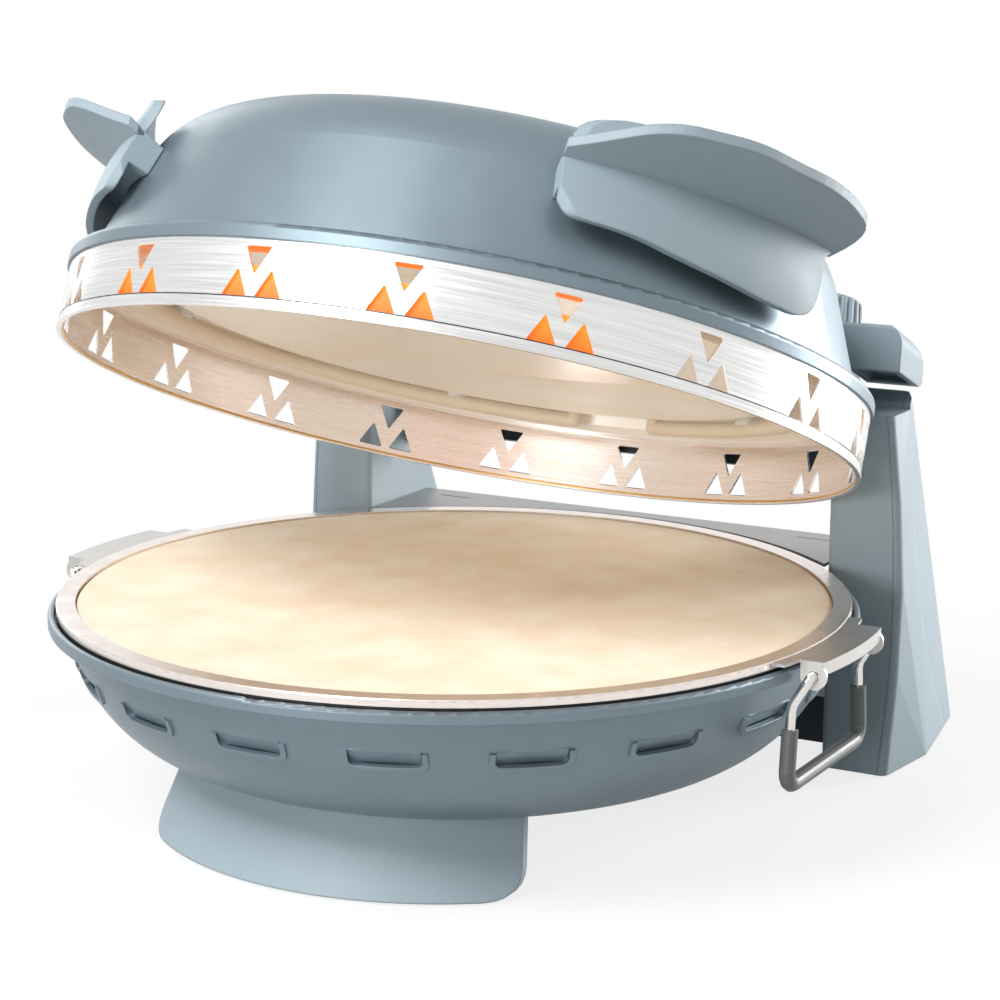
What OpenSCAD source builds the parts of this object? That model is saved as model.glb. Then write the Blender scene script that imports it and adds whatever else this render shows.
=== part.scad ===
// Electric pizza maker: a louvred bowl that holds a baking stone, and a domed lid hinged on two rear towers.
// Units are millimetres. The origin is on the table under the axis of the bowl, -Y is the front.

/* [Bowl] */
// Outer diameter of the rim of the bowl
rim_d = 344; // [336:1:352]
// Height of the rim above the table
rim_h = 93; // [88:1:100]
// Height of the upright band at the rim
rim_band = 5; // [4:0.5:8]
// Step from the rim band in to the body
rim_step = 9; // [8.6:0.1:12]
// Depth of the bowl below its rim
bowl_depth = 61; // [60.5:0.5:66]
// Radius of the round shoulder of the bowl
bowl_shoulder = 60; // [54:1:60]
// Sheet thickness of the bowl
bowl_wall = 1.2; // [0.8:0.1:1.5]

/* [Louvres] */
// Number of louvres round the bowl
louvre_count = 18; // [9:1:20]
// Width of a louvre over its bead
louvre_w = 33; // [24:1:38]
// Height of a louvre over its bead
louvre_h = 8.6; // [7:0.1:12]
// Depth of the louvre tops below the rim
louvre_drop = 19.4; // [16:0.1:26]
// Width of the bead round a louvre
bead_w = 2.3; // [1.5:0.1:3]
// Height of the bead above the wall
bead_h = 1; // [0.5:0.1:1.5]

/* [Reflector pan] */
// Distance between the bowl and the reflector pan
pan_space = 9; // [7:0.5:14]
// Sheet thickness of the reflectors
pan_wall = 1; // [0.6:0.1:1.5]
// Depth of the pan flange below the rim
pan_drop = 10; // [9:0.5:14]

/* [Heaters] */
// Diameter of the heater tubes
heater_d = 7; // [5:0.5:9]
// Radius of the lower heater ring
lower_heater_r = 105; // [80:1:115]
// Height of the lower heater above the pan
lower_heater_up = 24; // [16:1:30]
// Radius of the upper heater ring
upper_heater_r = 150; // [146:1:154]

/* [Stone and tray] */
// Diameter of the baking stone
stone_d = 320; // [300:1:321]
// Thickness of the baking stone
stone_t = 9; // [7:0.5:10]
// Height of the stone's top above the rim
stone_up = 3; // [1:0.5:4]
// Outer diameter of the tray
tray_d = 337; // [334:1:339]
// Height of the tray's top above the rim
tray_up = 3.7; // [2.5:0.1:5]
// Sheet thickness of the tray
tray_wall = 0.8; // [0.6:0.1:1]
// Reach of the turned down rim of the tray
tray_turn = 3; // [2:0.5:4]
// Width of the ledge under the stone
tray_ledge = 10; // [6:1:20]

/* [Brackets and bails] */
// Reach of the brackets from the axis of the bowl
bracket_r = 184; // [180:1:190]
// Half width of the brackets between their lugs
bracket_half = 31; // [26:1:40]
// Half width of the bracket wings along the tray
bracket_wing = 41; // [38:1:50]
// Sheet thickness of the brackets
bracket_wall = 1.2; // [1:0.1:2]
// Distance of the bail pivots from the middle
bail_x = 177.2; // [176:0.1:179]
// Depth of the bail pivots below the rim
bail_drop = 2.6; // [2:0.1:4]
// Diameter of the bail wire
wire_d = 4; // [3:0.1:4.4]
// Outer diameter of the grips
grip_d = 6.6; // [5.8:0.1:8]
// Height of a bail from its pivot to its bar
bail_h = 44; // [36:1:50]
// Half width of a bail at its bar
bail_half = 38; // [36.5:0.5:44]
// Inward crank of a bail below its pivot
bail_crank = 7; // [4:0.5:9]

/* [Towers] */
// Distance between the towers at the bowl
tower_gap = 237; // [236:1:240]
// Height of the flat tops of the towers above the rim
tower_up = 72; // [70:0.5:73]
// Front of the towers at the table
tower_front = 127.5; // [127:0.5:129]
// Rear of the towers at the table
tower_rear = 237; // [225:1:250]
// Rear of the towers at their tops
tower_back = 158.5; // [156:0.5:160]
// Greatest reach of the towers to the side
tower_side = 154.3; // [152:0.1:158]

/* [Hinge] */
// Distance of the hinge behind the axis of the bowl
hinge_y = 170; // [168:0.5:171]
// Height of the hinge above the rim
hinge_up = 40.5; // [39:0.5:42]
// Height of the closed lid's lip above the rim
lid_gap = 13.5; // [12:0.5:15]
// Stored opening of the lid in degrees
lid_open = 22.2; // [0:0.1:76]
// Diameter of the hinge pins
pin_d = 10; // [8:0.5:12]
// Thickness of the hinge levers
lever_t = 4; // [3:0.5:5]

/* [Lid] */
// Outer diameter of the vented ring
ring_d = 341.4; // [338:0.2:343]
// Sheet thickness of the vented ring
ring_wall = 1; // [0.8:0.1:1.5]
// Visible height of the vented ring
ring_h = 26.5; // [25:0.5:32]
// Height of the painted band over the ring
band_h = 6.5; // [5.5:0.5:9]
// Radius of the foot of the dome
dome_foot_r = 163.7; // [160:0.1:166]
// Height of the dome above the band
dome_h = 67; // [62:1:75]
// Radius of the shoulder of the dome
dome_shoulder = 38; // [30:1:44]
// Radius of the flat crown of the dome
crown_r = 112.8; // [106:0.2:116]
// Sheet thickness of the dome and band
dome_wall = 1; // [0.8:0.1:1.5]

/* [Windows] */
// Number of window groups round the ring
window_count = 18; // [9:1:20]
// Width of one triangle window
window_w = 11.6; // [8:0.1:13]
// Height of one triangle window
window_h = 11; // [8:0.1:12]
// Distance between the two lower windows
window_pitch = 14.8; // [13.5:0.1:17]
// Height of the lower windows above the lip
window_low = 4; // [3:0.1:6]
// Height of the top of the upper window above the lip
window_top = 23.8; // [22:0.1:25]

/* [Wings] */
// Thickness of the wing blades
blade_t = 3.4; // [2.5:0.1:4.5]
// Radius of the line where the blades meet
wing_r = 160; // [158:0.5:163]
// Height of that line above the lid's lip
wing_z = 77.2; // [74:0.1:79]
// Rise of the outer blade in degrees
blade_rise = 29; // [24:1:34]
// Angle from the front to the front end of a wing
wing_from = 36.5; // [34:0.5:44]
// Angle from the front to the rear end of a wing
wing_to = 86; // [80:0.5:90]

/* [Arms and knob] */
// Outer side of the arms
arm_side = 148; // [147:0.5:152]
// Inner side of the arms' drop
arm_inner = 123.4; // [122:0.2:126]
// Underside of the arms above the lid's lip
arm_low = 59.8; // [59.5:0.1:62]
// Wall of the arms
arm_wall = 3; // [2:0.5:4]
// Diameter of the control knob
knob_d = 35; // [28:1:38]
// Height of the control knob
knob_h = 14; // [12:1:20]
// Number of flutes on the knob
flute_count = 24; // [12:1:30]

/* [Foot and frame] */
// Radius of the front foot at the table
foot_r = 127; // [118:1:130]
// Half width of the front foot at the table
foot_half = 88; // [76:1:94]
// Offset of the front foot to the left
foot_shift = 6; // [0:1:8]
// Thickness of the foot apron
foot_wall = 2.6; // [2:0.1:4]
// Width of the spine of the base frame
spine_w = 70; // [50:1:90]
// Thickness of the rubber pads below the housings
pad_show = 1; // [0.5:0.1:2]
// Diameter of the rubber pads
pad_d = 14; // [10:1:16]

/* [Hidden] */

paint = "lightslategray";
plastic = "lightsteelblue";
bright = "gainsboro";
$fn = 96;

// Clearances
seat_gap = 0.1;
slip_gap = 0.4;
pin_gap = 0.05;

// Bowl
rim_r = rim_d / 2;
body_r = rim_r - rim_step;
shoulder_at = body_r - bowl_shoulder;
shoulder_drop = bowl_depth - bowl_shoulder;
bowl_bottom = rim_h - bowl_depth;
ledge_z = bowl_wall - rim_band;
roll_r = 1.5;

// Tray and stone, heights above the rim
stone_r = stone_d / 2;
tray_r = tray_d / 2;
stone_low = stone_up - stone_t;
well_r = stone_r + slip_gap;
tray_foot = tray_up - tray_turn;
pan_low = shoulder_drop + bowl_shoulder - pan_space;

// Brackets, heights above the rim
bracket_top = tray_up - 0.2;
bracket_z = bracket_top - bracket_wall;
lug_r = 5.5;

// Towers
tower_in = tower_gap / 2;
lip_gap = 1.6;
tower_z = rim_h + tower_up;
hinge_z = rim_h + hinge_up;
tower_reach = 6.5;
arm_front = 111.2;
arm_rear = 144;
arm_top = arm_low + 20.4;
tower_top = tower_z + tower_reach;
arm_sweep = norm([hinge_y - arm_rear, arm_low - hinge_up + lid_gap]);
lip_r = arm_sweep - lip_gap;

// Lid, heights above its lip
ring_r = ring_d / 2;
ring_top = ring_h + 1.5;
band_r = ring_r + seat_gap + dome_wall;
band_top = ring_h + band_h;
hinge_lid_z = hinge_up - lid_gap;
dome_top = band_top + dome_h;
crown_z = dome_top - dome_shoulder;
foot_arm = [dome_foot_r - crown_r, band_top - crown_z];
side_angle = atan2(foot_arm[1], foot_arm[0]) + acos(dome_shoulder / norm(foot_arm));
lever_x = tower_in - 2 - lever_t;
extension_low = arm_low + 6.5;
knob_at = [102, 133.5];
knob_z = arm_top + 0.4;

// Radius of the outside of the dome at a height above the lid's lip
function dome_r(z) = dome_foot_r - (z - band_top) * tan(side_angle);

// Rear face of a tower at a height above the table
rear_slope = (tower_rear - tower_back) / (tower_top - pad_show - 1);
function rear_y(z) = tower_rear - rear_slope * (z - pad_show - 1);

// Outline whose corners [x, y, d] are rounded from a distance d before them to d behind them
function unit(v) = v / norm(v);
function bend(a, b, c, t) = (1 - t) * (1 - t) * a + 2 * t * (1 - t) * b + t * t * c;
function soften(pts, steps = 6) = [
    for (i = [0 : len(pts) - 1])
        let (p = [pts[i][0], pts[i][1]])
        let (before = pts[(i + len(pts) - 1) % len(pts)])
        let (after = pts[(i + 1) % len(pts)])
        let (a = p + pts[i][2] * unit([before[0], before[1]] - p))
        let (c = p + pts[i][2] * unit([after[0], after[1]] - p))
        for (s = [0 : steps])
            bend(a, p, c, s / steps)
];

// Places children, drawn above the lip of the closed lid, at the stored opening of the lid
module on_lid() {
    translate([0, hinge_y, hinge_z])
        rotate([-lid_open, 0, 0])
            translate([0, -hinge_y, -hinge_lid_z])
                children();
}

// Turns a drawing in the Y-Z plane into a slab from X = x to X = x + t
module slab_x(x, t) {
    translate([x, 0, 0])
        rotate([90, 0, 90])
            linear_extrude(t)
                children();
}

// Half section of the bowl, shrunk by an inset, with the rim at height 0
module bowl_section(inset) {
    round_r = bowl_shoulder - inset;
    translate([0, -shoulder_drop])
        square([body_r - inset, shoulder_drop]);
    translate([0, -shoulder_drop - round_r])
        square([shoulder_at, round_r + shoulder_drop]);
    intersection() {
        translate([shoulder_at, -shoulder_drop])
            circle(round_r);
        translate([shoulder_at, -shoulder_drop - round_r])
            square(round_r);
    }
}

// Louvre outline with a straight top at y = 0 and round bottom corners
module louvre_outline(w, h, r) {
    translate([-w / 2, r - h])
        square([w, h - r]);
    translate([r - w / 2, -h])
        square([w - 2 * r, r]);
    for (side = [-1, 1])
        translate([side * (w / 2 - r), r - h])
            circle(r, $fn = 24);
}

// Repeats children at each louvre: X along the wall, Y up the wall, Z out of the wall
module at_louvres() {
    tilt = asin((louvre_drop + louvre_h / 2 - shoulder_drop) / bowl_shoulder);
    for (i = [0 : louvre_count - 1])
        rotate([0, 0, i * 360 / louvre_count])
            translate([0, -shoulder_at, rim_h - shoulder_drop])
                rotate([tilt, 0, 0])
                    rotate([90, 0, 0])
                        translate([0, louvre_h / 2, bowl_shoulder])
                            children();
}

module base_bowl() {
    slot_w = louvre_w - 2 * bead_w;
    slot_h = louvre_h - bead_w;
    color(paint) {
        difference() {
            union() {
                translate([0, 0, rim_h])
                    rotate_extrude()
                        difference() {
                            union() {
                                bowl_section(0);
                                translate([0, -rim_band])
                                    square([rim_r, rim_band - roll_r]);
                                translate([rim_r - roll_r, -roll_r])
                                    circle(roll_r, $fn = 24);
                            }
                            bowl_section(bowl_wall);
                            translate([0, ledge_z])
                                square([rim_r - 2 * roll_r, rim_band]);
                            translate([0, ledge_z])
                                square([rim_r - bowl_wall, rim_band - roll_r - bowl_wall]);
                        }
                intersection() {
                    at_louvres()
                        translate([0, 0, -3])
                            linear_extrude(6)
                                difference() {
                                    louvre_outline(louvre_w, louvre_h, 4);
                                    louvre_outline(slot_w, slot_h, 2.6);
                                }
                    translate([0, 0, rim_h])
                        rotate_extrude()
                            difference() {
                                bowl_section(-bead_h);
                                bowl_section(bowl_wall / 2);
                            }
                }
            }
            at_louvres()
                translate([0, 0, -6])
                    linear_extrude(10)
                        louvre_outline(slot_w, slot_h, 2.6);
        }
        at_louvres()
            rotate([12, 0, 0])
                translate([0, 0.6, -bowl_wall - 0.5])
                    linear_extrude(bowl_wall)
                        louvre_outline(slot_w - 0.4, slot_h + 1.4, 2.4);
    }
}

module seat_ring() {
    color("black")
        translate([0, 0, rim_h])
            rotate_extrude() {
                translate([body_r - 0.5, ledge_z])
                    square([rim_r - bowl_wall - slip_gap - body_r + 0.5, 1.6]);
                translate([tray_r - 2, ledge_z])
                    square([2, tray_foot - ledge_z - 0.2]);
            }
}

module bowl_liner() {
    pan_r = body_r - pan_space;
    color(bright)
        difference() {
            translate([0, 0, rim_h])
                rotate_extrude() {
                    difference() {
                        bowl_section(pan_space);
                        bowl_section(pan_space + pan_wall);
                        translate([0, -pan_drop])
                            square([body_r, pan_drop]);
                    }
                    translate([pan_r - pan_wall - 0.6, -pan_drop - pan_wall])
                        square([pan_space - bowl_wall - 0.4, pan_wall]);
                }
            at_heater_ends(lower_heater_r)
                translate([0, 0, bowl_bottom])
                    cylinder(d = heater_d + 1, h = bowl_depth / 2);
        }
}

// Repeats children where the two ends of a heater ring of radius r turn out of its plane
module at_heater_ends(r) {
    for (side = [-1, 1])
        rotate([0, 0, 90 + side * 8])
            translate([r, 0, 0])
                children();
}

// Ring heater in the plane z = 0 whose ends run straight up by rise, or down when it is negative
module heater(r, rise) {
    rotate([0, 0, 98])
        rotate_extrude(angle = 344)
            translate([r, 0])
                circle(d = heater_d, $fn = 32);
    at_heater_ends(r) {
        sphere(d = heater_d, $fn = 32);
        mirror([0, 0, rise < 0 ? 1 : 0])
            cylinder(d = heater_d, h = abs(rise), $fn = 32);
    }
}

module lower_heating_element() {
    level = rim_h - pan_low + lower_heater_up;
    color("dimgray")
        translate([0, 0, level])
            heater(lower_heater_r, bowl_bottom + bowl_wall + 2 - level);
}

module element_clips() {
    low = rim_h - pan_low + pan_wall;
    level = rim_h - pan_low + lower_heater_up;
    color(bright)
        for (i = [0 : 2])
            rotate([0, 0, 30 + i * 120])
                difference() {
                    translate([shoulder_at - 12, -4, low + seat_gap])
                        cube([lower_heater_r + heater_d - shoulder_at + 12, 8, level - low]);
                    translate([shoulder_at, -5, low + 3])
                        cube([lower_heater_r + heater_d, 10, level - low - heater_d / 2 - 5]);
                    translate([shoulder_at - 13, -5, low + 1.5])
                        cube([7, 10, bowl_depth]);
                    rotate_extrude()
                        translate([lower_heater_r, level])
                            circle(d = heater_d + 2 * pin_gap, $fn = 32);
                    translate([0, 0, rim_h])
                        rotate_extrude()
                            difference() {
                                translate([0, -bowl_depth])
                                    square([rim_r, bowl_depth]);
                                bowl_section(pan_space + pan_wall + seat_gap);
                            }
                }
}

module liner_spacers() {
    color("gray")
        for (i = [0 : 3])
            rotate([0, 0, 45 + i * 90])
                translate([70, 0, bowl_bottom + bowl_wall])
                    difference() {
                        cylinder(d = 12, h = pan_space - bowl_wall);
                        translate([0, 0, -1])
                            cylinder(d = 5, h = pan_space + 2);
                    }
}

module lower_thermostat() {
    color("darkgray") {
        translate([0, 0, rim_h - pan_low - 2])
            cylinder(d = 18, h = 2);
        translate([0, 0, rim_h - pan_low - 5])
            cylinder(d = 13, h = 3);
    }
}

// Beam between the towers and spine to the foot, with bosses that carry the bowl
beam_y = 150;
beam_depth = 26;
frame_z = 5;
frame_top = bowl_bottom - 5;
spine_front = -100;
boss_at = [[-25, -60], [25, -60], [-25, 60], [25, 60]];

module base_frame() {
    wall = 3;
    color(plastic)
        difference() {
            union() {
                translate([-tower_in + seat_gap, beam_y, frame_z])
                    cube([2 * (tower_in - seat_gap), beam_depth, frame_top - frame_z]);
                translate([-spine_w / 2, spine_front, frame_z])
                    cube([spine_w, beam_y - spine_front + 1, frame_top - frame_z]);
                for (at = boss_at)
                    translate([at[0], at[1], frame_z])
                        cylinder(d = 16, h = bowl_bottom - frame_z - seat_gap);
            }
            difference() {
                union() {
                    translate([-spine_w / 2 + wall, spine_front + wall, frame_z - 1])
                        cube([spine_w - 2 * wall, beam_y - spine_front + beam_depth - 3 * wall,
                            frame_top - frame_z - wall + 1]);
                    translate([-tower_in + wall, beam_y + wall, frame_z - 1])
                        cube([2 * (tower_in - wall), beam_depth - 2 * wall, frame_top - frame_z - wall + 1]);
                }
                for (at = boss_at)
                    translate([at[0], at[1], frame_z - 1])
                        cylinder(d = 16, h = bowl_depth);
                translate([0, 0, frame_z - 1])
                    cylinder(d = pad_d + 4, h = bowl_depth);
                for (y = [-60, 0, 60, 120])
                    translate([-spine_w / 2, y - wall / 2, frame_z])
                        cube([spine_w, wall, bowl_depth]);
            }
            for (at = boss_at)
                translate([at[0], at[1], 0])
                    cylinder(d = 4, h = bowl_depth);
        }
}

foot_lean = 15;
foot_seat = foot_r - foot_lean - foot_wall;
foot_rise = max(0, foot_seat - foot_shift - shoulder_at);
foot_top = rim_h - shoulder_drop - sqrt(pow(bowl_shoulder, 2) - pow(foot_rise, 2)) - 0.05;
web_half = 70;
web_z = pad_show + 0.6;

module front_foot() {
    color(plastic)
        translate([-foot_shift, 0, 0]) {
            intersection() {
                rotate_extrude()
                    polygon([[foot_r - foot_wall, pad_show], [foot_r, pad_show], [foot_r - foot_lean, foot_top],
                        [foot_seat, foot_top]]);
                rotate([90, 0, 0])
                    linear_extrude(foot_r + 10)
                        polygon(soften([[-foot_half, pad_show, 12], [foot_half, pad_show, 12],
                            [foot_half - 7, foot_top, 0.01], [7 - foot_half, foot_top, 0.01]]));
            }
            intersection() {
                rotate_extrude()
                    translate([foot_r - 30, web_z])
                        square([30 - foot_wall / 2 - 1.4, foot_wall]);
                translate([-web_half, -foot_r, 0])
                    cube([2 * web_half, foot_r, 10]);
            }
            translate([foot_shift - spine_w / 2 + 2, 30 - foot_r, web_z])
                cube([spine_w - 4, 24, frame_z - web_z - seat_gap]);
        }
}

front_pads = [[-62 - foot_shift, -92], [62 - foot_shift, -92]];
tower_pads = [[134, 142], [132, 224]];

module rubber_feet() {
    color("black") {
        cylinder(d = pad_d, h = frame_z - seat_gap);
        for (at = front_pads)
            translate([at[0], at[1], 0])
                cylinder(d = pad_d, h = web_z - seat_gap);
        for (side = [0, 1])
            mirror([side, 0, 0])
                for (at = tower_pads)
                    translate([at[0], at[1], 0])
                        cylinder(d = pad_d, h = 3);
    }
}

// Outside of the right tower with its cover, before they are parted: a hull over upright posts
function bulge(z) = z < 45 ? 3.4 * z / 45 - 4.3 : z < 85 ? (z - 85) / 44 : z < 125 ? (85 - z) / 17.4 : (104 - z) / 9.1;
front_corner = [for (z = [pad_show, 45, 65, 85, 105, 125, 148, tower_top - 1]) [tower_side + bulge(z) - 3.7, z]];
head_front = norm([hinge_y - tower_front, tower_z - hinge_z]);
relief_x = sqrt(pow(band_r, 2) - pow(hinge_y - head_front - 1, 2));
relief_r = hinge_y - sqrt(pow(band_r, 2) - pow(tower_in, 2)) - 0.6;
lip_y = tower_back - 9.5;

module tower_body() {
    foot_posts = [[tower_in + 3, tower_front + 3, 3], [tower_side - 5.5, tower_front + 40.5, 5.5],
        [tower_side - 16, tower_rear - 5, 5], [tower_in + 5, tower_rear - 5, 5]];
    head_posts = [[tower_in + 4, tower_front + 2, 3], [tower_side - 11, tower_back - 8.5, 4],
        [tower_side - 13.5, tower_back - 4, 4], [tower_in + 4, tower_back - 4, 4]];
    difference() {
        hull() {
            for (p = foot_posts)
                translate([p[0], p[1], pad_show])
                    cylinder(r = p[2], h = 1, $fn = 32);
            for (p = front_corner)
                translate([p[0], tower_front + 3.7, p[1]])
                    cylinder(r = 3.7, h = 1, $fn = 32);
            for (p = head_posts)
                translate([p[0], p[1], tower_top - 1])
                    cylinder(r = p[2], h = 1, $fn = 32);
        }
        translate([tower_in - 5, tower_front - 20, tower_z])
            cube([60, lip_y - tower_front + 20, 20]);
        difference() {
            translate([tower_in - 5, lip_y - 1, tower_z])
                cube([60, 40, 20]);
            slab_x(tower_in - 6, 62)
                translate([hinge_y, hinge_z])
                    circle(lip_r);
        }
        difference() {
            translate([tower_in - 5, tower_front - 20, hinge_z])
                cube([relief_x - tower_in + 5, hinge_y - tower_front + 20, 60]);
            slab_x(tower_in - 6, 28)
                translate([hinge_y, hinge_z])
                    circle(relief_r);
        }
    }
}

// Side view of the inner part of a tower, up to the curved seam shrunk by an inset
module seam_side(inset) {
    curve = [for (i = [0 : 12]) bend([145.4, 0], [156.4, rim_h - 7], [143.8, tower_top + 1], i / 12)];
    shift = tower_side - 154.3 - inset;
    polygon(concat([[tower_in - 5, tower_top + 1], [tower_in - 5, 0]], [for (p = curve) p + [shift, 0]]));
}

module inside_seam(inset) {
    translate([0, 300, 0])
        rotate([90, 0, 0])
            linear_extrude(300)
                seam_side(inset);
}

module tower() {
    color(plastic)
        difference() {
            union() {
                intersection() {
                    tower_body();
                    inside_seam(seat_gap);
                }
                slab_x(tower_in - 1.5, 13.5)
                    translate([hinge_y, hinge_z])
                        circle(pin_d / 2 + 3);
            }
            slab_x(tower_in - 5, 20)
                translate([hinge_y, hinge_z])
                    circle(pin_d / 2 + pin_gap);
            for (at = tower_pads)
                translate([at[0], at[1], 0])
                    cylinder(d = pad_d + 2 * seat_gap, h = 3 + seat_gap);
        }
}

module tower_cover() {
    color(plastic)
        difference() {
            tower_body();
            inside_seam(0);
        }
}

module left_tower() {
    mirror([1, 0, 0])
        tower();
}

module right_tower() {
    tower_with_inlet();
}

// The right tower also has the hole for the mains lead's gland
gland_z = 24;
gland_x = 131;

module at_gland() {
    lean = atan(rear_slope);
    translate([gland_x, rear_y(gland_z), gland_z])
        rotate([lean - 90, 0, 0])
            children();
}

module tower_with_inlet() {
    color(plastic)
        difference() {
            tower();
            at_gland()
                translate([0, 0, -12])
                    cylinder(d = 12 + 2 * pin_gap, h = 30);
        }
}

module power_inlet() {
    color("black")
        at_gland()
            difference() {
                union() {
                    translate([0, 0, -11.5])
                        cylinder(d = 12, h = 14);
                    translate([0, 0, seat_gap])
                        cylinder(d1 = 20, d2 = 15, h = 3.4);
                }
                translate([0, 0, -20])
                    cylinder(d = 7, h = 40);
            }
}

module left_tower_cover() {
    mirror([1, 0, 0])
        tower_cover();
}

module right_tower_cover() {
    tower_cover();
}

module rear_deck() {
    deck_y = 182;
    deck_t = 1.5;
    deck_top = 3;
    half = tower_in - seat_gap;
    color(bright)
        translate([0, 0, rim_h + deck_top - deck_t]) {
            linear_extrude(deck_t)
                difference() {
                    translate([-half, tower_front - 3])
                        square([2 * half, deck_y - tower_front + 3]);
                    circle(rim_r + 0.5);
                    for (side = [-1, 1])
                        translate([side * 95.5, 170])
                            square([17, 1.2], center = true);
                }
            translate([-half, deck_y - deck_t, -8])
                cube([2 * half, deck_t, 9]);
        }
}

module hinge_pins() {
    color("silver")
        for (side = [0, 1])
            mirror([side, 0, 0]) {
                slab_x(lever_x - 0.5, tower_in + 14 - lever_x)
                    translate([hinge_y, hinge_z])
                        circle(pin_d / 2);
                slab_x(lever_x - 3, 2.6)
                    translate([hinge_y, hinge_z])
                        circle(pin_d / 2 + 0.7);
            }
}

module base_screws() {
    color("silver")
        for (at = boss_at)
            translate([at[0], at[1], 0]) {
                translate([0, 0, frame_z - 2.4])
                    cylinder(d = 8, h = 2.3);
                translate([0, 0, frame_z - 0.2])
                    cylinder(d = 3.8, h = bowl_bottom - frame_z);
            }
}

module stone_tray() {
    color(bright)
        translate([0, 0, rim_h])
            rotate_extrude()
                polygon([
                    [stone_r - tray_ledge, stone_low - tray_wall - seat_gap],
                    [well_r + tray_wall, stone_low - tray_wall - seat_gap],
                    [well_r + tray_wall, tray_up - tray_wall],
                    [tray_r - tray_wall, tray_up - tray_wall],
                    [tray_r - tray_wall, tray_foot],
                    [tray_r, tray_foot],
                    [tray_r, tray_up - 0.4],
                    [tray_r - 0.4, tray_up],
                    [well_r, tray_up],
                    [well_r, stone_low - seat_gap],
                    [stone_r - tray_ledge, stone_low - seat_gap]
                ]);
}

module bracket() {
    color("silver")
        translate([0, 0, rim_h])
            difference() {
                union() {
                    translate([0, 0, bracket_z])
                        linear_extrude(bracket_wall)
                            difference() {
                                intersection() {
                                    union() {
                                        translate([tray_r - 20, -bracket_half])
                                            square([60, 2 * bracket_half]);
                                        intersection() {
                                            circle(tray_r + 5.5);
                                            translate([tray_r - 20, -bracket_wing])
                                                square([60, 2 * bracket_wing]);
                                        }
                                    }
                                    circle(bracket_r);
                                }
                                circle(tray_r + seat_gap);
                            }
                    translate([0, 0, bracket_z - 4])
                        linear_extrude(4.2)
                            intersection() {
                                difference() {
                                    circle(bracket_r);
                                    circle(bracket_r - bracket_wall);
                                }
                                translate([tray_r, -bracket_half])
                                    square([60, 2 * bracket_half]);
                            }
                    for (side = [-1, 1])
                        translate([0, side * (bracket_half - bracket_wall / 2) + bracket_wall / 2, 0])
                            rotate([90, 0, 0])
                                linear_extrude(bracket_wall) {
                                    translate([bail_x, -bail_drop])
                                        circle(lug_r);
                                    translate([bail_x - lug_r, -bail_drop])
                                        square([lug_r + bracket_r - bail_x - 3, bracket_z + bail_drop + 0.5]);
                                }
                }
                translate([bail_x, 60, -bail_drop])
                    rotate([90, 0, 0])
                        cylinder(d = wire_d + 0.4, h = 120);
            }
}

module left_bracket() {
    mirror([1, 0, 0])
        bracket();
}

module right_bracket() {
    bracket();
}

module pizza_stone() {
    bevel = 1;
    color("wheat")
        translate([0, 0, rim_h])
            rotate_extrude()
                polygon([[0, stone_low], [stone_r - bevel, stone_low], [stone_r, stone_low + bevel],
                    [stone_r, stone_up - bevel], [stone_r - bevel, stone_up], [0, stone_up]]);
}

// Middle line of a bail, heights above the rim: pin, knee, top of the grip, round corner
bail_in = bail_x - bail_crank;
bail_foot = -bail_drop - bail_h;
pin_y = bracket_half + wire_d / 2 + 0.6;
bar_round = 6;
pin_end = [bail_x, pin_y, -bail_drop];
knee = [bail_in, pin_y + 1.7, -bail_drop - 13];
corner = [bail_in, bail_half, bail_foot + bar_round];
grip_top = knee + 0.32 * (corner - knee);
function quarter(at, r, from, to, n = 4) = [
    for (i = [0 : n])
        let (a = from + (to - from) * i / n)
        [at[0], at[1] + r * cos(a), at[2] + r * sin(a)]
];
function bail_leg() = concat(
    [pin_end - [0, pin_y - bracket_half + 2, 0], pin_end - [0, 1, 0], pin_end + [-0.3, 0.2, -0.3],
        pin_end + [-0.9, 0.8, -1.6], knee + [0.7, -0.3, 2.4], knee - [0, 0, 0.5]],
    grip_leg()
);
function grip_leg() = concat([grip_top], quarter(corner - [0, bar_round, 0], bar_round, 0, -90));
function mirror_y(pts) = [for (i = [len(pts) - 1 : -1 : 0]) [pts[i][0], -pts[i][1], pts[i][2]]];

// Points of a ring of radius r round a path that never runs along X
function ring_at(path, i, r, sides) =
    let (a = path[max(i - 1, 0)])
    let (b = path[min(i + 1, len(path) - 1)])
    let (along = unit(b - a))
    let (across = unit(cross(along, [1, 0, 0])))
    let (third = cross(across, along))
    [for (k = [0 : sides - 1]) path[i] + r * (cos(k * 360 / sides) * across + sin(k * 360 / sides) * third)];

module tube(path, r, sides) {
    n = len(path);
    points = [for (i = [0 : n - 1]) each ring_at(path, i, r, sides)];
    walls = [for (i = [0 : n - 2]) for (k = [0 : sides - 1])
        let (j = (k + 1) % sides)
        each [[i * sides + k, i * sides + j, (i + 1) * sides + k],
            [i * sides + j, (i + 1) * sides + j, (i + 1) * sides + k]]];
    first = [for (k = [1 : sides - 2]) [0, k + 1, k]];
    last = [for (k = [1 : sides - 2]) [(n - 1) * sides, (n - 1) * sides + k, (n - 1) * sides + k + 1]];
    polyhedron(points, concat(walls, first, last));
}

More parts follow.
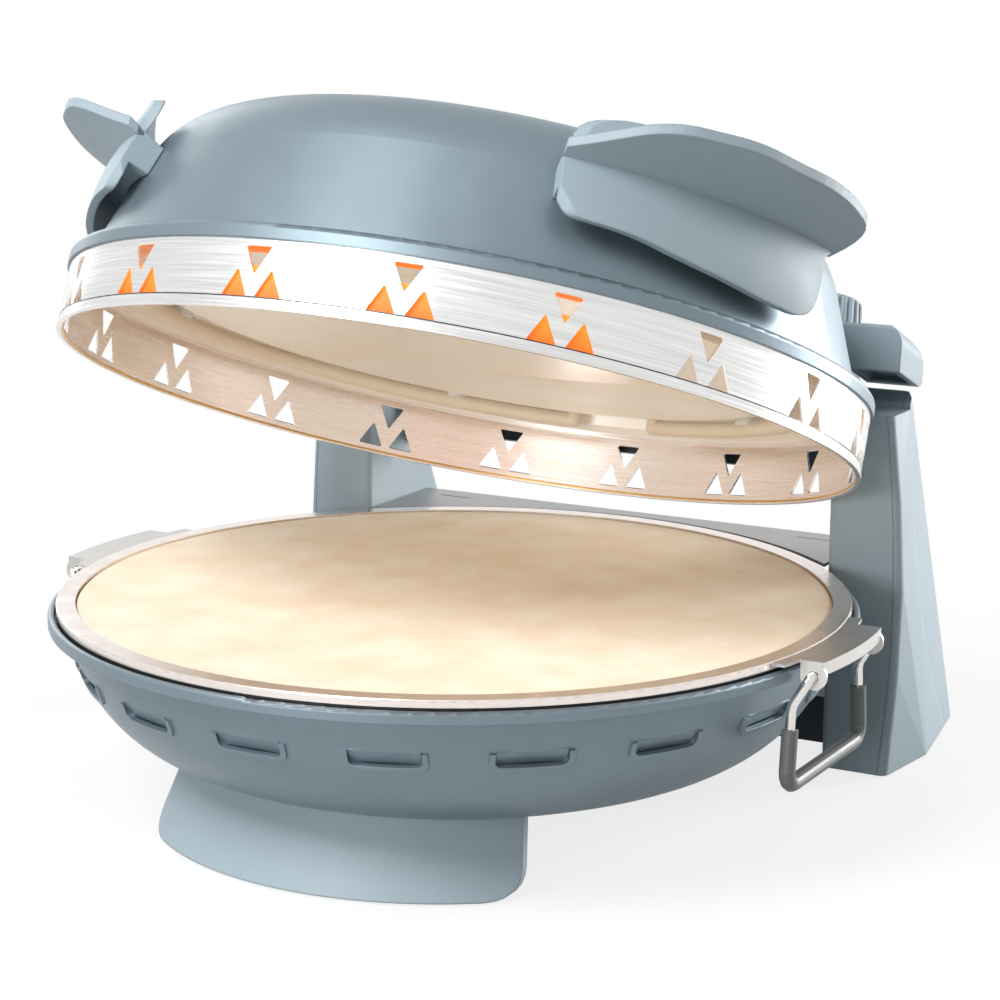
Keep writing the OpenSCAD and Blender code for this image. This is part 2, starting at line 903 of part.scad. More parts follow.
// Tube of outer radius r with a bore of radius q, along the same path
module sleeve(path, r, q, sides) {
    n = len(path);
    m = n * sides;
    points = concat(
        [for (i = [0 : n - 1]) each ring_at(path, i, r, sides)],
        [for (i = [0 : n - 1]) each ring_at(path, i, q, sides)]
    );
    walls = [for (i = [0 : n - 2]) for (k = [0 : sides - 1])
        let (j = (k + 1) % sides)
        let (a = i * sides)
        let (b = a + sides)
        each [[a + k, a + j, b + k], [a + j, b + j, b + k],
            [m + a + j, m + a + k, m + b + k], [m + b + j, m + a + j, m + b + k]]];
    ends = [for (k = [0 : sides - 1])
        let (j = (k + 1) % sides)
        let (z = m - sides)
        each [[k, m + k, j], [j, m + k, m + j],
            [z + k, z + j, m + z + k], [z + j, m + z + j, m + z + k]]];
    polyhedron(points, concat(walls, ends));
}

module bail() {
    leg = bail_leg();
    color("silver")
        translate([0, 0, rim_h])
            tube(concat(leg, mirror_y(leg)), wire_d / 2, 16);
}

module grip() {
    leg = grip_leg();
    color("dimgray")
        translate([0, 0, rim_h])
            sleeve(concat(leg, mirror_y(leg)), grip_d / 2, wire_d / 2 + 0.15, 16);
}

module left_bail() {
    mirror([1, 0, 0])
        bail();
}

module right_bail() {
    bail();
}

module left_grip() {
    mirror([1, 0, 0])
        grip();
}

module right_grip() {
    grip();
}

// Half section of the dome, shrunk by an inset
module dome_section(inset) {
    round_r = dome_shoulder - inset;
    way = [cos(side_angle), sin(side_angle)];
    start = [cos(side_angle - 6), sin(side_angle - 6)];
    middle = [crown_r, crown_z];
    far = 2 * dome_shoulder;
    polygon([[0, band_top], [dome_foot_r - inset / way[0], band_top], middle + round_r * way, middle,
        [0, crown_z]]);
    square_top = crown_z + round_r;
    translate([0, crown_z - 1])
        square([crown_r, square_top - crown_z + 1]);
    intersection() {
        translate(middle)
            circle(round_r);
        polygon([middle - [4, 4], middle + far * start, middle + [far, far], middle + [-4, far]]);
    }
}

module lid_dome() {
    color(paint)
        on_lid()
            rotate_extrude()
                difference() {
                    dome_section(0);
                    dome_section(dome_wall);
                }
}

module lid_band() {
    fold = 2.2;
    color(paint)
        on_lid()
            rotate_extrude() {
                translate([band_r - dome_wall, ring_h])
                    square([dome_wall, band_h - fold]);
                translate([dome_foot_r - 1.9, band_top - dome_wall - seat_gap])
                    square([band_r - fold - dome_foot_r + 1.9, dome_wall]);
                intersection() {
                    translate([band_r - fold, band_top - fold - seat_gap])
                        difference() {
                            circle(fold, $fn = 32);
                            circle(fold - dome_wall, $fn = 32);
                        }
                    translate([band_r - fold, band_top - fold - seat_gap])
                        square(fold);
                }
            }
}

// Triangle with round corners, its base on y = 0, pointing up
module window(w, h) {
    polygon(soften([[-w / 2, 0, 1.2], [w / 2, 0, 1.2], [0, h, 1.2]], 3));
}

module vented_ring() {
    color("silver")
        on_lid()
            difference() {
                rotate_extrude() {
                    translate([ring_r - ring_wall, 0])
                        square([ring_wall, ring_top]);
                    translate([ring_r - 1.6, 0])
                        square([2, 1.6]);
                }
                for (i = [0 : window_count - 1])
                    rotate([90, 0, i * 360 / window_count])
                        translate([0, 0, ring_r - 5])
                            linear_extrude(10) {
                                translate([0, window_top])
                                    mirror([0, 1])
                                        window(window_w, window_h);
                                for (side = [-1, 1])
                                    translate([side * window_pitch / 2, window_low])
                                        window(window_w, window_h);
                            }
            }
}

// Reflector: a flange on the ring, a trough for the heater and a shallow middle
trough_top = ring_top + 8.5;
module lid_reflector() {
    path = [[ring_r - seat_gap, ring_top + seat_gap], [164, ring_top + seat_gap], [161.2, ring_top + 3],
        [159.6, trough_top], [141.5, trough_top], [138, ring_top + 3.6], [134, ring_top + 3],
        [100, ring_top + 11], [50, ring_top + 17], [0, ring_top + 18.5]];
    color("wheat")
        on_lid()
            difference() {
                rotate_extrude()
                    polygon(concat(path, [for (i = [len(path) - 1 : -1 : 0]) path[i] + [0, pan_wall]]));
                at_heater_ends(upper_heater_r)
                    cylinder(d = heater_d + 1, h = dome_top - 5);
            }
}

heater_lid_z = ring_top + 2;
module upper_heating_element() {
    color("orangered")
        on_lid()
            translate([0, 0, heater_lid_z])
                heater(upper_heater_r, 26);
}

module element_insulators() {
    low = heater_lid_z + 1;
    color("white")
        on_lid()
            for (i = [0 : 5])
                rotate([0, 0, i * 60])
                    difference() {
                        translate([upper_heater_r, 0, low])
                            cylinder(d = 11, h = trough_top - low - seat_gap);
                        rotate_extrude()
                            translate([upper_heater_r, heater_lid_z])
                                circle(d = heater_d + 2 * pin_gap, $fn = 32);
                    }
}

// Section of a wing: a hub on the dome, an outer, an inner and a bulged lower blade
module wing_hub_section() {
    low = wing_z - 15.6;
    high = wing_z - 3.8;
    polygon([[wing_r + 0.5, wing_z + 1.6], [dome_r(high) + 0.3, high], [dome_r(low) + 0.3, low],
        [wing_r + 4.6, low + 3.2]]);
    translate([wing_r, wing_z])
        rotate(114)
            translate([-1.5, -blade_t / 2])
                square([34, blade_t]);
    lower_round = 75;
    intersection() {
        translate([wing_r - 66.5, wing_z - 32])
            difference() {
                circle(lower_round);
                circle(lower_round - blade_t);
            }
        translate([wing_r - 3, wing_z - 40])
            square([30, 41]);
    }
}

module wing() {
    color(plastic)
        on_lid() {
            intersection() {
                rotate([0, 0, wing_from - 90])
                    rotate_extrude(angle = wing_to - wing_from)
                        wing_hub_section();
                slab_x(80, 120)
                    polygon(soften([[-130, 53, 3], [-134.5, 67, 4], [-133.5, 75.5, 2], [-126, 76.5, 1],
                        [-118.5, 96.8, 14], [-84, 99.5, 13], [-37, 88, 18], [-14, 77.5, 2], [-25.5, 71.5, 5],
                        [-36.5, 43.3, 10], [-62, 43.3, 9], [-98, 48, 8], [-114, 52, 7]]));
            }
            intersection() {
                rotate([0, 0, wing_from - 90])
                    rotate_extrude(angle = wing_to - wing_from)
                        translate([wing_r, wing_z])
                            rotate(blade_rise)
                                translate([-1.5, -blade_t / 2])
                                    square([44, blade_t]);
                linear_extrude(dome_top + 20)
                    polygon(soften([[96, -134, 1], [136, -126, 14], [160, -99, 12], [178, -54, 18],
                        [177, -14.5, 16], [150, -13.5, 1], [97, -90, 1]]));
            }
        }
}

module left_wing() {
    mirror([1, 0, 0])
        wing();
}

module right_wing() {
    wing();
}

// Side outline of an arm, shrunk by an inset
module arm_side_outline(inset) {
    difference() {
        polygon(soften([[arm_front + 5.3 + inset, arm_low, 0.3], [arm_front + inset, arm_top - 0.7 - inset, 2],
            [arm_front + 11, arm_top - inset, 4.5], [arm_rear + 0.4 - inset / 2, arm_top - 5.2 - inset, 7.5],
            [arm_rear + 3.7 - inset, arm_low, 0.3]]));
        translate([hinge_y, hinge_lid_z])
            circle(arm_sweep + inset);
    }
}

module arm() {
    edge = 9.4;
    color(plastic)
        on_lid()
            difference() {
                intersection() {
                    slab_x(82, arm_side - 82)
                        arm_side_outline(0);
                    translate([0, 200, 0])
                        rotate([90, 0, 0])
                            linear_extrude(200) {
                                translate([82, extension_low])
                                    square([arm_side - edge - 82, 20]);
                                translate([arm_inner, arm_low - 1])
                                    square([arm_side - arm_inner, arm_top - edge - arm_low + 1]);
                                translate([arm_inner, arm_top - edge - 4])
                                    square([arm_side - edge - arm_inner, edge + 4]);
                                translate([arm_side - edge, arm_top - edge])
                                    circle(edge);
                            }
                }
                slab_x(arm_inner + arm_wall, arm_side - arm_inner - 2 * arm_wall)
                    union() {
                        arm_side_outline(arm_wall);
                        translate([arm_front + 5.3 + arm_wall, arm_low - 1])
                            square([arm_rear - arm_front - 6 - 2 * arm_wall, 4]);
                    }
                rotate_extrude()
                    difference() {
                        square([dome_r(extension_low - 6) + 0.3, dome_top + 1]);
                        difference() {
                            square([200, dome_top + 2]);
                            dome_section(-0.3);
                            square([200, extension_low - 6]);
                        }
                    }
            }
}

module left_arm() {
    mirror([1, 0, 0])
        arm();
}

module right_arm() {
    color(plastic) {
        difference() {
            union() {
                arm();
                on_lid()
                    translate([knob_at[0], knob_at[1], extension_low])
                        cylinder(d = knob_d - 6, h = knob_z - extension_low - 0.4);
            }
            on_lid()
                translate([knob_at[0], knob_at[1], 0])
                    cylinder(d = 7 + 2 * pin_gap, h = 200);
        }
    }
}

bar_y = hinge_y + 6;
bar_t = 3;
bar_low = 22;
bar_h = 20;
tab_y = arm_front + 12;

module hinge_bridge() {
    tab_low = extension_low - seat_gap - 2.4;
    color("gray")
        on_lid() {
            difference() {
                for (side = [0, 1])
                    mirror([side, 0, 0]) {
                        slab_x(lever_x, lever_t) {
                            polygon([[tab_y, tab_low + 2.4], [tab_y + 25, tab_low + 2.4], [bar_y + bar_t, bar_low + bar_h],
                                [bar_y + bar_t, bar_low + 3], [hinge_y - 8, hinge_lid_z - 8]]);
                            translate([hinge_y, hinge_lid_z])
                                circle(pin_d / 2 + 6);
                        }
                        translate([106, tab_y + 1, tab_low])
                            cube([lever_x + 1 - 106, 22, 2.4]);
                    }
                slab_x(-200, 400)
                    translate([hinge_y, hinge_lid_z])
                        circle(pin_d / 2 + pin_gap);
            }
            translate([-lever_x - 1, bar_y, bar_low])
                cube([2 * lever_x + 2, bar_t, bar_h]);
            for (side = [-1, 1])
                difference() {
                    translate([side * 45, bar_y + 0.5, ring_h + band_h / 2])
                        rotate([90, 0, 0])
                            cylinder(d = 5, h = 12);
                    cylinder(r = band_r + seat_gap, h = dome_top);
                }
        }
}

module lid_screws() {
    color("silver")
        on_lid()
            for (side = [-1, 1]) {
                translate([side * 45, bar_y + bar_t + seat_gap + 2.2, ring_h + band_h / 2])
                    rotate([90, 0, 0])
                        cylinder(d = 7, h = 2.2);
                translate([side * 109.2, tab_y + 12, extension_low - 5 - 2 * seat_gap])
                    cylinder(d = 6.5, h = 2.4);
            }
}

module knob_shaft() {
    color("silver")
        on_lid()
            translate([knob_at[0], knob_at[1], extension_low + 0.2])
                difference() {
                    cylinder(d = 7, h = knob_z - extension_low + 7);
                    translate([2.5, -5, knob_z - extension_low - 0.2])
                        cube([5, 10, 20]);
                }
}

module control_knob() {
    shrink = 0.9;
    color(plastic)
        on_lid()
            translate([knob_at[0], knob_at[1], knob_z])
                difference() {
                    union() {
                        cylinder(d1 = knob_d, d2 = knob_d * shrink, h = knob_h - 1.5);
                        translate([0, 0, knob_h - 1.5])
                            cylinder(d1 = knob_d * shrink, d2 = knob_d * shrink - 3, h = 1.5);
                    }
                    for (i = [0 : flute_count - 1])
                        rotate([0, 0, i * 360 / flute_count])
                            translate([knob_d / 2 + 0.2, 0, -1])
                                rotate([0, -atan(knob_d * (1 - shrink) / 2 / knob_h), 0])
                                    cylinder(d = 2.6, h = knob_h + 4, $fn = 16);
                    difference() {
                        translate([0, 0, -1])
                            cylinder(d = 7 + 2 * pin_gap, h = 8.4 + seat_gap);
                        translate([2.5 + pin_gap, -5, 0.2])
                            cube([5, 10, 20]);
                    }
                }
}

base_bowl();
seat_ring();
bowl_liner();
liner_spacers();
lower_heating_element();
element_clips();
lower_thermostat();
base_frame();
front_foot();
rubber_feet();
left_tower();
right_tower();
left_tower_cover();
right_tower_cover();
rear_deck();
hinge_pins();
power_inlet();
base_screws();
stone_tray();
left_bracket();
right_bracket();
pizza_stone();
left_bail();
right_bail();
left_grip();
right_grip();
lid_dome();
lid_band();
vented_ring();
lid_reflector();
upper_heating_element();
element_insulators();
left_wing();
right_wing();
left_arm();
right_arm();
hinge_bridge();
lid_screws();
control_knob();
knob_shaft();
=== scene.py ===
import math

import bpy
import numpy as np
from mathutils import Matrix, Vector


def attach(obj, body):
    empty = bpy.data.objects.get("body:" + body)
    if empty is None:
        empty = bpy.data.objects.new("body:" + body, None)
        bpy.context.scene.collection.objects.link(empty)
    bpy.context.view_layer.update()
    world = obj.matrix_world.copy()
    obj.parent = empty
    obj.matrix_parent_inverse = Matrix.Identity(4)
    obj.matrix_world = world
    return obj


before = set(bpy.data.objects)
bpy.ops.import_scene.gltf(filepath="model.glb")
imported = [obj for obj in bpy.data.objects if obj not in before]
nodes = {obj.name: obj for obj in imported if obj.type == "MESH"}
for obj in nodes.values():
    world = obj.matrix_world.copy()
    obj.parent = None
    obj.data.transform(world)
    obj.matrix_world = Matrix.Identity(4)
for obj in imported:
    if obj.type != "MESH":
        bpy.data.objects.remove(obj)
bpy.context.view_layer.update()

# Hinge of the lid, its height above the lid's lip, and the stored opening, in metres and radians
HINGE_Y, HINGE_Z = 0.170, 0.1335
HINGE_ABOVE_LIP = 0.027
LID_OPEN = math.radians(22.2)

# Top of the bowl's rim above the floor
RIM_Z = 0.093

# Vented ring: outer radius and depth of its groove
RING_R = 0.1708
GROOVE = 0.00009

# Painted glow strip behind each group of front windows, standing in for the heater's light: radii,
# heights above the lip and half angle
GLOW_IN, GLOW_OUT = 0.1688, 0.1692
GLOW_LOW, GLOW_HIGH = 0.0032, 0.0165
GLOW_HALF = 5.5
WINDOW_STEP = 20


def lid_matrix():
    """Closed lid frame, z above its lip, to the row frame."""
    return (Matrix.Translation((0, HINGE_Y, HINGE_Z)) @ Matrix.Rotation(-LID_OPEN, 4, "X")
            @ Matrix.Translation((0, -HINGE_Y, -HINGE_ABOVE_LIP)))


LID = lid_matrix()


def srgb(r, g, b):
    """Linear colour from 8-bit sRGB values."""
    def f(c):
        c /= 255
        return c / 12.92 if c <= 0.04045 else ((c + 0.055) / 1.055) ** 2.4
    return (f(r), f(g), f(b), 1)


# Sharp edges start at these angles, on CAD nodes and on the pieces made here
CAD_SHARP = math.radians(32)
PIECE_SHARP = math.radians(35)

# Noise values that a colour or roughness spread starts and ends at
NOISE_LOW, NOISE_HIGH = 0.3, 0.7


class Mat:
    """A small helper round one procedural material."""

    def __init__(self, name, color, rough=0.5, metal=0.0):
        self.m = bpy.data.materials.new(name)
        self.m.use_nodes = True
        self.t = self.m.node_tree
        self.b = self.t.nodes["Principled BSDF"]
        self.b.inputs["Base Color"].default_value = color
        self.b.inputs["Roughness"].default_value = rough
        self.b.inputs["Metallic"].default_value = metal
        self.m.diffuse_color = color
        self.co = self.t.nodes.new("ShaderNodeTexCoord")

    def node(self, kind, **kw):
        n = self.t.nodes.new(kind)
        for k, v in kw.items():
            setattr(n, k, v)
        return n

    def ramp(self, noise, low, high, first=None, last=None):
        """Colour ramp driven by a noise or value socket."""
        r = self.node("ShaderNodeValToRGB")
        if first is not None:
            r.color_ramp.elements[0].position = first
            r.color_ramp.elements[1].position = last
        r.color_ramp.elements[0].color = low
        r.color_ramp.elements[1].color = high
        self.link(noise, r.inputs["Fac"])
        return r

    def span(self, value, low, high, to_low=0.0, to_high=1.0):
        """Maps a value from one range to another."""
        r = self.node("ShaderNodeMapRange")
        r.inputs["From Min"].default_value = low
        r.inputs["From Max"].default_value = high
        r.inputs["To Min"].default_value = to_low
        r.inputs["To Max"].default_value = to_high
        self.link(value, r.inputs["Value"])
        return r.outputs["Result"]

    def from_lid(self, height):
        """Position measured from a point on the lid's axis, at a height above its lip."""
        rel = self.node("ShaderNodeVectorMath", operation="SUBTRACT")
        self.link(self.co.outputs["Object"], rel.inputs[0])
        rel.inputs[1].default_value = LID @ Vector((0, 0, height))
        return rel.outputs["Vector"]

    def along(self, position, direction):
        """Distance of a position along a direction."""
        dot = self.node("ShaderNodeVectorMath", operation="DOT_PRODUCT")
        self.link(position, dot.inputs[0])
        dot.inputs[1].default_value = direction
        return dot.outputs["Value"]

    def link(self, a, b):
        self.t.links.new(a, b)

    def noise(self, scale, detail=3, stretch=None, seed=0.0):
        mp = self.node("ShaderNodeMapping")
        self.link(self.co.outputs["Object"], mp.inputs["Vector"])
        if stretch:
            mp.inputs["Scale"].default_value = stretch
        mp.inputs["Location"].default_value = (seed, seed * 0.7, seed * 0.3)
        n = self.node("ShaderNodeTexNoise")
        n.inputs["Scale"].default_value = scale
        n.inputs["Detail"].default_value = detail
        self.link(mp.outputs["Vector"], n.inputs["Vector"])
        return n

    def vary(self, noise, low, high, socket):
        spread = self.span(noise.outputs["Fac"], NOISE_LOW, NOISE_HIGH, low, high)
        self.link(spread, self.b.inputs[socket])

    def tint(self, noise, a, b):
        r = self.ramp(noise.outputs["Fac"], a, b, NOISE_LOW, NOISE_HIGH)
        self.link(r.outputs["Color"], self.b.inputs["Base Color"])

    def bump(self, noise, strength, distance):
        bmp = self.node("ShaderNodeBump")
        bmp.inputs["Strength"].default_value = strength
        bmp.inputs["Distance"].default_value = distance
        self.link(noise.outputs["Fac"], bmp.inputs["Height"])
        self.link(bmp.outputs["Normal"], self.b.inputs["Normal"])
        return bmp

    def soft_edges(self, bmp, radius):
        bev = self.node("ShaderNodeBevel", samples=4)
        bev.inputs["Radius"].default_value = radius
        self.link(bev.outputs["Normal"], bmp.inputs["Normal"])


def scale_color(c, k):
    """A colour made k times as bright, at most white."""
    return (min(c[0] * k, 1), min(c[1] * k, 1), min(c[2] * k, 1), 1)


def paint_mat(name, color, rough, grain=0.12, coat=0.0, metal=0.0, edge=0.0):
    """Paint or plastic with fine grain; edge rounds the shading of its corners."""
    m = Mat(name, color, rough, metal)
    n = m.noise(14, 2)
    m.tint(n, scale_color(color, 0.97), scale_color(color, 1.03))
    m.vary(m.noise(60, 3, seed=3), rough - 0.03, rough + 0.04, "Roughness")
    bmp = m.bump(m.noise(900.0, 2, seed=5), grain, 0.0001)
    if edge:
        m.soft_edges(bmp, edge)
    if coat:
        m.b.inputs["Coat Weight"].default_value = coat
        m.b.inputs["Coat Roughness"].default_value = 0.3
    return m.m


def steel_mat(name, color, rough, stretch):
    """Steel brushed along the axes that stretch leaves short."""
    m = Mat(name, color, rough, 1.0)
    n = m.noise(90.0, 4, stretch)
    m.tint(n, scale_color(color, 0.93), scale_color(color, 1.05))
    m.vary(n, rough - 0.04, rough + 0.04, "Roughness")
    m.bump(n, 0.05, 0.0001)
    return m.m


PAINT_BLUE = srgb(118, 133, 142)
PLASTIC_BLUE = srgb(152, 168, 176)
M = {}
M["paint"] = paint_mat("satin blue paint", PAINT_BLUE, 0.42, grain=0.05, coat=0.1, metal=0.6, edge=0.0006)
M["plastic"] = paint_mat("matt blue plastic", PLASTIC_BLUE, 0.55, grain=0.1, edge=0.0011)
M["flat_steel"] = steel_mat("brushed flat steel", srgb(200, 198, 195), 0.3, (2, 60, 2))
M["deck"] = steel_mat("grey deck steel", srgb(168, 168, 168), 0.4, (60, 2, 2))
M["bright"] = steel_mat("bright steel", srgb(222, 219, 216), 0.14, (1, 1, 30))
M["tray"] = steel_mat("tray steel", srgb(238, 228, 222), 0.24, (1, 1, 30))
M["gold_edge"] = steel_mat("warm edge", srgb(230, 190, 120), 0.3, (1, 1, 10))
M["dark_steel"] = steel_mat("dark steel", srgb(70, 70, 72), 0.4, (1, 1, 10))
# black on the seat ring, filling the dark gap between the tray rim and the bowl rim
M["black"] = paint_mat("black rim seat", srgb(24, 24, 25), 0.35, grain=0.05)
M["rubber"] = paint_mat("black rubber", srgb(30, 30, 31), 0.7, grain=0.25)
M["sleeve"] = paint_mat("grey sleeve", srgb(92, 94, 93), 0.42, grain=0.15)
M["ceramic"] = paint_mat("white ceramic", srgb(225, 222, 214), 0.5)
M["frame"] = paint_mat("hidden plastic", srgb(60, 70, 78), 0.55)

stone = Mat("fired stone", srgb(240, 224, 198), 0.7)
stone.tint(stone.noise(45, 6), srgb(240, 222, 196), srgb(248, 238, 220))
stone.bump(stone.noise(420, 4, seed=2), 0.25, 0.0003)
M["stone"] = stone.m


def heater_painted_glow_mat():
    """Heater tube with painted glow: it glows only at the front of the lid, as pale as the reflector
    round the rest.
    """
    m = Mat("heater with painted glow", srgb(214, 186, 148), 0.5)
    n = m.noise(30, 3)
    turn = math.radians(12)
    ahead = LID.to_3x3() @ Vector((math.sin(turn), -math.cos(turn), 0))
    # painted glow mask: the front part of the tube, along a direction ahead of the lid's axis
    painted_glow_part = m.span(m.along(m.from_lid(0.03), ahead), 0.095, 0.135)
    cold = m.ramp(n.outputs["Fac"], srgb(224, 206, 180), srgb(240, 228, 208))
    mix = m.node("ShaderNodeMix", data_type="RGBA")
    m.link(painted_glow_part, mix.inputs["Factor"])
    m.link(cold.outputs["Color"], mix.inputs["A"])
    mix.inputs["B"].default_value = srgb(150, 62, 20)
    m.link(mix.outputs["Result"], m.b.inputs["Base Color"])
    m.b.inputs["Emission Color"].default_value = (1.0, 0.18, 0.01, 1)
    m.link(painted_glow_part, m.b.inputs["Emission Strength"])
    m.bump(n, 0.1, 0.0002)
    return m.m


M["glow"] = heater_painted_glow_mat()


def painted_window_glow_mat():
    """Painted orange glow that pales towards its upper edge."""
    m = Mat("painted window glow", srgb(190, 90, 30), 0.6)
    up = LID.to_3x3() @ Vector((0, 0, 1))
    height = m.span(m.along(m.from_lid(0), up), 0.003, GLOW_HIGH)
    n = m.noise(120, 3, seed=8)
    mixed = m.node("ShaderNodeMath", operation="MULTIPLY_ADD")
    m.link(n.outputs["Fac"], mixed.inputs[0])
    mixed.inputs[1].default_value = 0.3
    m.link(height, mixed.inputs[2])
    ramp = m.ramp(mixed.outputs["Value"], srgb(238, 84, 20), srgb(246, 160, 40), 0.1, 1.0)
    m.link(ramp.outputs["Color"], m.b.inputs["Emission Color"])
    m.b.inputs["Emission Strength"].default_value = 0.85
    m.bump(n, 0.1, 0.0002)
    return m.m


M["window_glow"] = painted_window_glow_mat()


def reflector_mat():
    """Pale bright metal with a slight wave."""
    m = Mat("pale reflector", srgb(250, 244, 234), 0.42, 0.2)
    n = m.noise(8, 3, (1, 1, 6))
    m.tint(n, srgb(248, 238, 222), srgb(253, 251, 246))
    m.vary(m.noise(30, 3, seed=4), 0.36, 0.48, "Roughness")
    m.bump(m.noise(14, 2, seed=6), 0.15, 0.001)
    return m.m


M["reflector"] = reflector_mat()


def ring_mat():
    """Brushed steel, with painted warm light on the inner face, which is paler and warmer."""
    m = Mat("ring steel", srgb(214, 212, 210), 0.25, 1.0)
    lid_co = m.node("ShaderNodeMapping")
    m.link(m.co.outputs["Object"], lid_co.inputs["Vector"])
    lid_co.vector_type = "POINT"
    lid_co.inputs["Rotation"].default_value = (LID_OPEN, 0, 0)
    fine = m.node("ShaderNodeMapping")
    m.link(lid_co.outputs["Vector"], fine.inputs["Vector"])
    fine.inputs["Scale"].default_value = (1, 1, 60)
    n = m.node("ShaderNodeTexNoise")
    n.inputs["Scale"].default_value = 22
    n.inputs["Detail"].default_value = 5
    m.link(fine.outputs["Vector"], n.inputs["Vector"])
    # on the inner face the normal points to the axis of the lid
    geo = m.node("ShaderNodeNewGeometry")
    dot = m.node("ShaderNodeVectorMath", operation="DOT_PRODUCT")
    m.link(m.from_lid(0.014), dot.inputs[0])
    m.link(geo.outputs["True Normal"], dot.inputs[1])
    painted_light_face = m.node("ShaderNodeMath", operation="LESS_THAN")
    m.link(dot.outputs["Value"], painted_light_face.inputs[0])
    painted_light_face.inputs[1].default_value = 0.0
    # painted warm light: the inner face gets a paler, warmer copy of the steel colour
    warm = m.ramp(n.outputs["Fac"], srgb(252, 244, 242), srgb(255, 250, 248), NOISE_LOW, NOISE_HIGH)
    cool = m.ramp(n.outputs["Fac"], srgb(214, 214, 213), srgb(236, 236, 235), NOISE_LOW, NOISE_HIGH)
    mix = m.node("ShaderNodeMix", data_type="RGBA")
    m.link(painted_light_face.outputs["Value"], mix.inputs["Factor"])
    m.link(cool.outputs["Color"], mix.inputs["A"])
    m.link(warm.outputs["Color"], mix.inputs["B"])
    m.link(mix.outputs["Result"], m.b.inputs["Base Color"])
    m.vary(n, 0.2, 0.32, "Roughness")
    m.bump(n, 0.04, 0.0001)
    return m.m


M["ring"] = ring_mat()

# material of each CAD node
USE = {
    "base_bowl": "paint", "seat_ring": "black", "bowl_liner": "bright", "liner_spacers": "bright",
    "lower_heating_element": "dark_steel", "element_clips": "flat_steel", "lower_thermostat": "bright",
    "base_frame": "frame", "front_foot": "plastic", "rubber_feet": "rubber",
    "left_tower": "plastic", "right_tower": "plastic", "left_tower_cover": "plastic",
    "right_tower_cover": "plastic", "rear_deck": "deck", "hinge_pins": "bright",
    "power_inlet": "rubber", "base_screws": "bright", "stone_tray": "tray",
    "left_bracket": "flat_steel", "right_bracket": "flat_steel", "pizza_stone": "stone",
    "left_bail": "bright", "right_bail": "bright", "left_grip": "sleeve", "right_grip": "sleeve",
    "lid_dome": "paint", "lid_band": "paint", "vented_ring": "ring", "lid_reflector": "reflector",
    "upper_heating_element": "glow", "element_insulators": "ceramic", "left_wing": "plastic",
    "right_wing": "plastic", "left_arm": "plastic", "right_arm": "plastic",
    "hinge_bridge": "dark_steel", "lid_screws": "bright", "control_knob": "plastic",
    "knob_shaft": "bright",
}


def dress(o):
    """Gives a CAD node its material: flat faces stay flat, round ones shade smoothly."""
    me = o.data
    me.materials.clear()
    me.materials.append(M[USE[o.name]])
    me.polygons.foreach_set("use_smooth", np.ones(len(me.polygons), bool))
    me.set_sharp_from_angle(angle=CAD_SHARP)


for o in nodes.values():
    dress(o)


def mesh(name, verts, faces, mat, body, lid=False):
    """A piece from points and faces; lid places it in the lid's own frame."""
    me = bpy.data.meshes.new(name)
    me.from_pydata([tuple(v) for v in verts], [], faces)
    me.validate()
    me.update()
    if lid:
        me.transform(LID)
    me.materials.append(M[mat])
    me.polygons.foreach_set("use_smooth", np.ones(len(me.polygons), bool))
    me.set_sharp_from_angle(angle=PIECE_SHARP)
    o = bpy.data.objects.new(name, me)
    bpy.context.scene.collection.objects.link(o)
    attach(o, body)
    return o


def lathe(name, prof, mat, body, lid=False, seg=160, a0=0.0, a1=360.0):
    """Turns a closed profile of (r, z) in metres round Z, from angle a0 to a1."""
    full = abs(a1 - a0) >= 360
    k = seg if full else seg + 1
    verts, faces = [], []
    n = len(prof)
    for i in range(k):
        a = math.radians(a0 + (a1 - a0) * i / seg)
        for r, z in prof:
            verts.append((r * math.sin(a), -r * math.cos(a), z))
    rows = k if full else k - 1
    for i in range(rows):
        j = (i + 1) % k
        for p in range(n):
            q = (p + 1) % n
            faces.append((i * n + p, j * n + p, j * n + q, i * n + q))
    if not full:
        faces.append(tuple(range(n - 1, -1, -1)))
        faces.append(tuple((k - 1) * n + p for p in range(n)))
    return mesh(name, verts, faces, mat, body, lid)


def ring_profile(r, z, rad, n=10):
    return [(r + rad * math.cos(2 * math.pi * i / n), z + rad * math.sin(2 * math.pi * i / n))
            for i in range(n)]


# rolled lips of the vented ring and of the tray
lathe("ring_lip", ring_profile(0.1704, 0.0009, 0.0007), "bright", "lid", lid=True)
lathe("tray_lip", ring_profile(0.16795, RIM_Z + 0.0031, 0.00055), "bright", "tray")
# dark band in the ring's shallow groove: painted shade
lathe("ring_groove_painted_shade", [(RING_R - GROOVE, 0.00395), (RING_R, 0.0041), (RING_R, 0.0043),
                       (RING_R - GROOVE, 0.00445)],
      "dark_steel", "lid", lid=True)
lathe("ring_inner_edge", ring_profile(0.1690, 0.0012, 0.0005), "gold_edge", "lid", lid=True)

# painted glow strips that stand in for the heater's warm light, seen through the front windows
painted_glow_strip = [(GLOW_IN, GLOW_LOW), (GLOW_OUT, GLOW_LOW), (GLOW_OUT, GLOW_HIGH), (GLOW_IN, GLOW_HIGH)]
for group in range(-1, 3):
    mid = WINDOW_STEP * group
    lathe("glow_%d" % (group + 1), painted_glow_strip, "window_glow", "lid",
          lid=True, seg=40, a0=mid - GLOW_HALF, a1=mid + GLOW_HALF)

